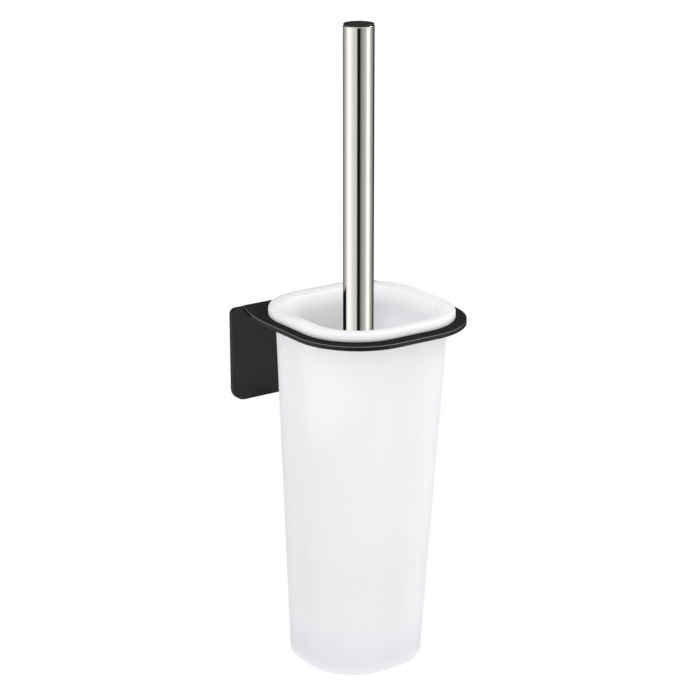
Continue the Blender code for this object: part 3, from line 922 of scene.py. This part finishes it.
CAP_LOW, CAP_HIGH, _ = span("handle_cap")
CAP_RADIUS = CAP_HIGH.x
crown = CAP_HIGH.z
cap_profile = [
    (0, crown - 0.35 * MM),
    (0.55 * CAP_RADIUS, crown - 0.3 * MM),
    (0.72 * CAP_RADIUS, crown),
    (CAP_RADIUS, crown - 0.15 * MM),
    (CAP_RADIUS, TUBE_HIGH.z + 0.3 * MM),
    (PLUG_RADIUS, TUBE_HIGH.z + 0.3 * MM),
    (PLUG_RADIUS, CAP_LOW.z),
    (0, CAP_LOW.z),
]
cap = turned("cap_plug", soften(cap_profile, 0.4 * MM), BRUSH_Y)
finished(cap, BLACK_PLASTIC, "handle", ["handle_cap"])

# %% [markdown]
# ## Screw threads
# A thread is a small ridge that follows a helix. Geometry Nodes has a Spiral curve, and Curve to
# Mesh sweeps a four-sided profile along it. One tree with named sizes makes the stud's thread
# and the little lock screw's.


# %% Thread tree
def new_tree(name, sizes):
    """A Geometry Nodes tree with named float inputs. Returns its graph and the inputs as Wires."""
    tree = bpy.data.node_groups.new(name, "GeometryNodeTree")
    tree.interface.new_socket("Geometry", in_out="OUTPUT", socket_type="NodeSocketGeometry")
    for size in sizes:
        tree.interface.new_socket(size, in_out="INPUT", socket_type="NodeSocketFloat")
    graph = Graph(tree)
    entry = tree.nodes.new("NodeGroupInput")
    return graph, {size: Wire(graph, entry.outputs[size]) for size in sizes}


def close_tree(graph, geometry, material):
    """Ends a tree with Realize Instances and Set Material."""
    real = graph.add("GeometryNodeRealizeInstances", sockets={"Geometry": geometry})
    painted = graph.add("GeometryNodeSetMaterial", sockets={"Geometry": real, "Material": material})
    leave = graph.tree.nodes.new("NodeGroupOutput")
    graph.tree.links.new(painted.socket, leave.inputs[0])
    return graph.tree


def grown(name, tree, sizes):
    """Runs a tree with the given sizes and returns the result as a plain mesh object."""
    piece = bpy.data.objects.new(name, bpy.data.meshes.new(name))
    bpy.context.scene.collection.objects.link(piece)
    modifier = piece.modifiers.new(name, "NODES")
    modifier.node_group = tree
    for item in tree.interface.items_tree:
        if item.in_out == "INPUT" and item.name in sizes:
            modifier[item.identifier] = float(sizes[item.name])
    settle(piece)
    return piece


def thread_tree(material):
    """A tree whose result is one helical ridge."""
    graph, size = new_tree("thread", ["Radius", "Ridge", "Turns", "Height", "Start Z", "Axis Y"])
    spiral = graph.add(
        "GeometryNodeCurveSpiral",
        sockets={
            "Resolution": 40,
            "Rotations": size["Turns"],
            "Start Radius": size["Radius"],
            "End Radius": size["Radius"],
            "Height": size["Height"],
        },
    )
    ridge = graph.add(
        "GeometryNodeCurvePrimitiveCircle",
        sockets={"Resolution": 4, "Radius": size["Ridge"]},
    )
    swept = graph.add(
        "GeometryNodeCurveToMesh",
        sockets={"Curve": spiral, "Profile Curve": ridge, "Fill Caps": True},
    )
    place = graph.add("ShaderNodeCombineXYZ", sockets={"Y": size["Axis Y"], "Z": size["Start Z"]})
    moved = graph.add("GeometryNodeTransform", sockets={"Geometry": swept, "Translation": place})
    return close_tree(graph, moved, material)


# %% [markdown]
# ## Lower plug and its stud
# The plug is pressed into the tube. Its flange covers the tube's cut end, and its stud screws
# into the head. The stud's core is turned a little thin, so that the thread makes up its size.

# %% Lower plug
INSERT_LOW, INSERT_HIGH, _ = span("handle_insert")
STUD_RADIUS = 3.9 * MM
STUD_LENGTH = 14 * MM
STUD_RIDGE = 0.42 * MM
STUD_TURNS = 7
flange_low = INSERT_LOW.z + STUD_LENGTH
stud_core = STUD_RADIUS - STUD_RIDGE
insert_profile = [
    (0, INSERT_HIGH.z),
    (PLUG_RADIUS, INSERT_HIGH.z),
    (PLUG_RADIUS, TUBE_LOW.z - 0.3 * MM),
    (TUBE_RADIUS, TUBE_LOW.z - 0.3 * MM),
    (TUBE_RADIUS, flange_low),
    (stud_core, flange_low),
    (stud_core, INSERT_LOW.z),
    (0, INSERT_LOW.z),
]
insert = turned("lower_plug", soften(insert_profile, 0.35 * MM), BRUSH_Y)
finished(insert, BLACK_PLASTIC, "handle", ["handle_insert"])
thread = grown(
    "stud_thread",
    thread_tree(BLACK_PLASTIC),
    {
        "Radius": stud_core,
        "Ridge": STUD_RIDGE,
        "Turns": STUD_TURNS,
        "Height": STUD_LENGTH - 3 * MM,
        "Start Z": INSERT_LOW.z + 1 * MM,
        "Axis Y": BRUSH_Y,
    },
)
finished(thread, BLACK_PLASTIC, "handle")

# %% [markdown]
# ## Washer and brush core
# The washer keeps water out of the thread. The core and its neck are one moulding, widest where
# the handle seats, with a socket for the stud.

# %% Washer and core
WASHER_LOW, WASHER_HIGH, _ = span("neck_washer")
WASHER_BORE = STUD_RADIUS + 0.4 * MM
washer_profile = [
    (WASHER_BORE, WASHER_HIGH.z),
    (WASHER_HIGH.x, WASHER_HIGH.z),
    (WASHER_HIGH.x, WASHER_LOW.z),
    (WASHER_BORE, WASHER_LOW.z),
]
washer = turned("washer_ring", soften(washer_profile, 0.3 * MM), BRUSH_Y)
finished(washer, SILICONE, "brush_head", ["neck_washer"])

CORE_LOW, CORE_HIGH, _ = span("brush_core")
BRISTLE_LOW, BRISTLE_HIGH, _ = span("bristles")
NECK_RADIUS = CORE_HIGH.x
CORE_RADIUS = 6 * MM
CORE_CHAMFER = 2 * MM
SOCKET_RADIUS = STUD_RADIUS + 0.3 * MM
SOCKET_DEPTH = STUD_LENGTH + 1 * MM
core_profile = [
    (0, CORE_HIGH.z - SOCKET_DEPTH),
    (SOCKET_RADIUS, CORE_HIGH.z - SOCKET_DEPTH),
    (SOCKET_RADIUS, CORE_HIGH.z),
    (NECK_RADIUS, CORE_HIGH.z),
    (NECK_RADIUS, CORE_HIGH.z - SOCKET_DEPTH - 2 * MM),
    (CORE_RADIUS, BRISTLE_HIGH.z + 2 * MM),
    (CORE_RADIUS, CORE_LOW.z + CORE_CHAMFER),
    (CORE_RADIUS - CORE_CHAMFER, CORE_LOW.z),
    (0, CORE_LOW.z),
]
core = turned("core_moulding", soften(core_profile, 0.5 * MM), BRUSH_Y, steps=64)
finished(core, WHITE_PLASTIC, "brush_head", ["brush_core"])

# %% [markdown]
# ## Bristles
# A head like this has some 270 tufts, each a pinch of nylon folded into a drilled hole. Geometry
# Nodes place every filament. A filament's number gives its tuft, and tufts wind down the core by
# the golden angle, so that they never line up. Four curves say where a filament starts and ends,
# from the top of the head to its tip. Random numbers with fixed seeds splay and trim the ends,
# and the filaments themselves are straight.

# %% Bristle tree
TUFTS = 270
FILAMENTS = 22
FILAMENT_RADIUS = 0.16 * MM
HEAD_RADIUS = BRISTLE_HIGH.x
HEAD_LENGTH = BRISTLE_HIGH.z - BRISTLE_LOW.z
HEAD_INSIDE = 0.965  # the longest filaments reach this share of the head's radius
GOLDEN_ANGLE = math.pi * (3 - math.sqrt(5))
# Share of the way down the head, then root radius, root height, tip radius and tip height.
HEAD_ROWS = [
    (0.00, 1.00, 0.060, 0.78, 0.050),
    (0.08, 1.00, 0.110, 0.93, 0.105),
    (0.25, 1.00, 0.250, 1.00, 0.260),
    (0.55, 1.00, 0.500, 1.00, 0.530),
    (0.75, 1.00, 0.690, 0.95, 0.740),
    (0.87, 1.00, 0.815, 0.84, 0.880),
    (0.94, 0.72, 0.862, 0.62, 0.965),
    (1.00, 0.05, 0.868, 0.05, 0.985),
]


def float_curve(graph, share, column):
    """One column of the table above, as a curve with straight runs between its points."""
    wire = graph.add("ShaderNodeFloatCurve", sockets={"Value": share})
    curve = wire.socket.node.mapping.curves[0]
    points = [(row[0], row[column]) for row in HEAD_ROWS]
    curve.points[0].location = points[0]
    curve.points[1].location = points[-1]
    for point in points[1:-1]:
        curve.points.new(*point)
    for point in curve.points:
        point.handle_type = "VECTOR"
    wire.socket.node.mapping.update()
    return wire


def random_number(graph, low, high, index, seed):
    """A number between low and high that depends only on the index and the seed."""
    return graph.add(
        "FunctionNodeRandomValue",
        {"data_type": "FLOAT"},
        {2: low, 3: high, "ID": index, "Seed": seed},
        out=1,
    )


def bristle_tree(material):
    """A tree whose result is every filament of the head."""
    sizes = ["Tufts", "Filaments", "Head Radius", "Core Radius", "Length", "Top Z", "Axis Y"]
    graph, size = new_tree("bristles", sizes + ["Filament Radius", "Tuft Radius", "Splay"])
    index = graph.add("GeometryNodeInputIndex")
    tuft = graph.math("FLOOR", index / size["Filaments"])
    share = (tuft + 0.5) / size["Tufts"]
    turn = tuft * GOLDEN_ANGLE + size["Splay"] * random_number(graph, -1.0, 1.0, index, 3)
    root_spread_z = size["Tuft Radius"] * random_number(graph, -1.0, 1.0, index, 5)
    root_radius = float_curve(graph, share, 1) * size["Core Radius"] * 0.97
    root_height = size["Top Z"] - float_curve(graph, share, 2) * size["Length"] + root_spread_z
    tip_share = share + 0.022 * random_number(graph, -1.0, 1.0, index, 7)
    trimmed = random_number(graph, 0.955, 1.0, index, 9) * size["Head Radius"]
    tip_radius = float_curve(graph, tip_share, 3) * trimmed
    tip_height = size["Top Z"] - float_curve(graph, tip_share, 4) * size["Length"]
    root_turn = tuft * GOLDEN_ANGLE + 0.16 * random_number(graph, -1.0, 1.0, index, 11)

    def spot(radius, angle, height):
        east_west = radius * graph.math("COSINE", angle)
        north_south = radius * graph.math("SINE", angle) + size["Axis Y"]
        sockets = {"X": east_west, "Y": north_south, "Z": height}
        return graph.add("ShaderNodeCombineXYZ", sockets=sockets)

    root = spot(root_radius, root_turn, root_height)
    tip = spot(tip_radius, turn, tip_height)
    run = graph.add("ShaderNodeVectorMath", {"operation": "SUBTRACT"}, {0: tip, 1: root})
    length = graph.add("ShaderNodeVectorMath", {"operation": "LENGTH"}, {0: run}, out="Value")
    count = size["Tufts"] * size["Filaments"]
    starts = graph.add("GeometryNodePoints", sockets={"Count": count, "Position": root})
    strand = graph.add(
        "GeometryNodeMeshCone",
        sockets={
            "Vertices": 4,
            "Side Segments": 2,
            "Radius Top": size["Filament Radius"] * 0.8,
            "Radius Bottom": size["Filament Radius"],
            "Depth": 1.0,
        },
    )
    stretch = graph.add("ShaderNodeCombineXYZ", sockets={"X": 1.0, "Y": 1.0, "Z": length})
    aim_out = graph.add("FunctionNodeAlignRotationToVector", {"axis": "Z"}, {"Vector": run})
    laid = graph.add(
        "GeometryNodeInstanceOnPoints",
        sockets={"Points": starts, "Instance": strand, "Rotation": aim_out, "Scale": stretch},
    )
    return close_tree(graph, laid, material)


bristle_sizes = {
    "Tufts": TUFTS,
    "Filaments": FILAMENTS,
    "Head Radius": HEAD_RADIUS * HEAD_INSIDE,
    "Core Radius": CORE_RADIUS,
    "Length": HEAD_LENGTH,
    "Top Z": BRISTLE_HIGH.z,
    "Axis Y": BRUSH_Y,
    "Filament Radius": FILAMENT_RADIUS,
    "Tuft Radius": 0.9 * MM,
    "Splay": 0.085,
}
tufts = grown("bristle_tufts", bristle_tree(NYLON), bristle_sizes)
finished(tufts, NYLON, "brush_head", ["bristles"], sharp=80)

# %% [markdown]
# ## Bracket and hooks
# Behind the plate a zinc-plated bracket is screwed to the wall, and two hooks on the plate hang
# over its rail. Both are strips bent in a press brake, so the bends are round: a path is softened
# at its corners, given its thickness on both sides, and drawn out along X.

# %% Bent sheet
BRACKET_LOW, BRACKET_HIGH, _ = span("wall_bracket")
BRACKET_SHEET = 1.5 * MM
RAIL_GAP = 2.1 * MM
RAIL_HEIGHT = 9.5 * MM
HOOK_SHEET = 1.2 * MM
SHEET_BREAK = 0.18 * MM


def set_over(path, distance):
    """Moves a (y, z) path to its left by a distance, keeping its corners."""
    points = [Vector(point) for point in path]
    headings = [(b - a).normalized() for a, b in zip(points, points[1:])]
    lefts = [Vector((-h.y, h.x)) for h in headings]
    moved = [points[0] + lefts[0] * distance]
    for corner, left, next_left in zip(points[1:-1], lefts, lefts[1:]):
        mitre = (left + next_left).normalized()
        moved.append(corner + mitre * (distance / mitre.dot(left)))
    moved.append(points[-1] + lefts[-1] * distance)
    return [tuple(point) for point in moved]


def bent_sheet(name, path, thickness, low_x, high_x, bend):
    """A strip whose path runs along one face; the sheet lies on the path's left."""
    middle = [Vector(p) for p in soften(set_over(path, thickness / 2), bend + thickness / 2, 6)]
    one_side, other_side = [], []
    for i, point in enumerate(middle):
        before = middle[max(i - 1, 0)]
        after = middle[min(i + 1, len(middle) - 1)]
        heading = (after - before).normalized()
        left = Vector((-heading.y, heading.x)) * (thickness / 2)
        one_side.append(point + left)
        other_side.append(point - left)
    outline = one_side + other_side[::-1]
    rows = [[(x, y, z) for y, z in outline] for x in (low_x, high_x)]
    return as_object(name, skin(rows))


def cut_away(piece, cutter):
    """Cuts one object out of another, then removes the cutter."""
    cut = piece.modifiers.new("cut", "BOOLEAN")
    cut.operation = "DIFFERENCE"
    cut.solver = "EXACT"
    cut.object = cutter
    settle(piece)
    bpy.data.objects.remove(cutter)


# %% Bracket
SCREW_SPACING = 44 * MM
SLOT_LENGTH = 8 * MM
SLOT_HEIGHT = 4.6 * MM
rail_foot = BRACKET_HIGH.z - RAIL_HEIGHT
jog_foot = rail_foot - 1.2 * RAIL_GAP
path = [
    (BRACKET_LOW.y, BRACKET_LOW.z),
    (0, BRACKET_LOW.z),
    (0, jog_foot),
    (-RAIL_GAP, rail_foot),
    (-RAIL_GAP, BRACKET_HIGH.z),
]
bracket = bent_sheet("bracket_sheet", path, BRACKET_SHEET, BRACKET_LOW.x, BRACKET_HIGH.x, 0.8 * MM)
slot_z = (jog_foot + BRACKET_LOW.z + BRACKET_SHEET) / 2
for side in (-1, 1):
    reach = (SLOT_LENGTH - SLOT_HEIGHT) / 2
    slot_x = side * SCREW_SPACING / 2
    outline = arc((slot_x + reach, slot_z), SLOT_HEIGHT / 2, -90, 90, 12)
    outline += arc((slot_x - reach, slot_z), SLOT_HEIGHT / 2, 90, 270, 12)
    rows = [[(x, y, z) for x, z in outline] for y in (-4 * MM, 4 * MM)]
    cut_away(bracket, as_object("slot_cutter", skin(rows)))
finished(bracket, ZINC, "holder", ["wall_bracket"], bevel=SHEET_BREAK)

# %% Hooks
for side in ("left", "right"):
    HOOK_LOW, HOOK_HIGH, _ = span("hook_" + side)
    web = HOOK_HIGH.z - HOOK_SHEET
    path = [
        (HOOK_LOW.y + HOOK_SHEET, HOOK_LOW.z),
        (HOOK_LOW.y + HOOK_SHEET, web),
        (HOOK_HIGH.y - HOOK_SHEET, web),
        (HOOK_HIGH.y - HOOK_SHEET, HOOK_LOW.z),
    ]
    hook = bent_sheet("hook_strip_" + side, path, HOOK_SHEET, HOOK_LOW.x, HOOK_HIGH.x, 0.35 * MM)
    finished(hook, POWDER, "holder", ["hook_" + side], bevel=SHEET_BREAK)

# %% [markdown]
# ## Lock lug and grub screw
# A block behind the plate's lower edge takes a small grub screw, turned from below with a hex
# key until its point bears on the bracket's foot. The hooks can't lift after that. Boolean cuts
# make the bore and the hex socket, because each is one plain hole.

# %% Lock lug
LUG_LOW, LUG_HIGH, _ = span("lock_lug")
SCREW_LOW, SCREW_HIGH, SCREW_MID = span("grub_screw")
SCREW_RADIUS = SCREW_HIGH.x
LUG_BORE = SCREW_RADIUS + 0.15 * MM


def block(name, low, high):
    """A box between two corners."""
    corners = [(low.x, low.y), (high.x, low.y), (high.x, high.y), (low.x, high.y)]
    return as_object(name, skin([[(x, y, z) for x, y in corners] for z in (low.z, high.z)]))


lug = block("lug_block", LUG_LOW, LUG_HIGH)
bore_top, bore_foot = LUG_HIGH.z + 10 * MM, LUG_LOW.z - 10 * MM
bore = [(0, bore_top), (LUG_BORE, bore_top), (LUG_BORE, bore_foot), (0, bore_foot)]
cut_away(lug, turned("lug_bore", bore, SCREW_MID.y, steps=48))
finished(lug, POWDER, "holder", ["lock_lug"], bevel=0.3 * MM)

# %% Grub screw
SCREW_RIDGE = 0.2 * MM
SCREW_TURNS = 27
HEX_ACROSS = 1.5 * MM
HEX_DEPTH = 2.4 * MM
screw_core = SCREW_RADIUS - SCREW_RIDGE
screw_profile = [
    (0, SCREW_HIGH.z),
    (0.4 * SCREW_RADIUS, SCREW_HIGH.z),
    (screw_core, SCREW_HIGH.z - 0.7 * MM),
    (screw_core, SCREW_LOW.z),
    (0, SCREW_LOW.z),
]
screw = turned("screw_shank", soften(screw_profile, 0.12 * MM), SCREW_MID.y, steps=48)
hex_radius = HEX_ACROSS / math.sqrt(3)
hex_profile = [
    (0, SCREW_LOW.z + HEX_DEPTH),
    (hex_radius, SCREW_LOW.z + HEX_DEPTH),
    (hex_radius, SCREW_LOW.z - 1 * MM),
    (0, SCREW_LOW.z - 1 * MM),
]
cut_away(screw, turned("hex_key", hex_profile, SCREW_MID.y, steps=6))
finished(screw, ZINC, "lock_screw", ["grub_screw"])
ridge = grown(
    "screw_thread",
    thread_tree(ZINC),
    {
        "Radius": screw_core,
        "Ridge": SCREW_RIDGE,
        "Turns": SCREW_TURNS,
        "Height": SCREW_HIGH.z - SCREW_LOW.z - 1.6 * MM,
        "Start Z": SCREW_LOW.z + 0.4 * MM,
        "Axis Y": SCREW_MID.y,
    },
)
finished(ridge, ZINC, "lock_screw")
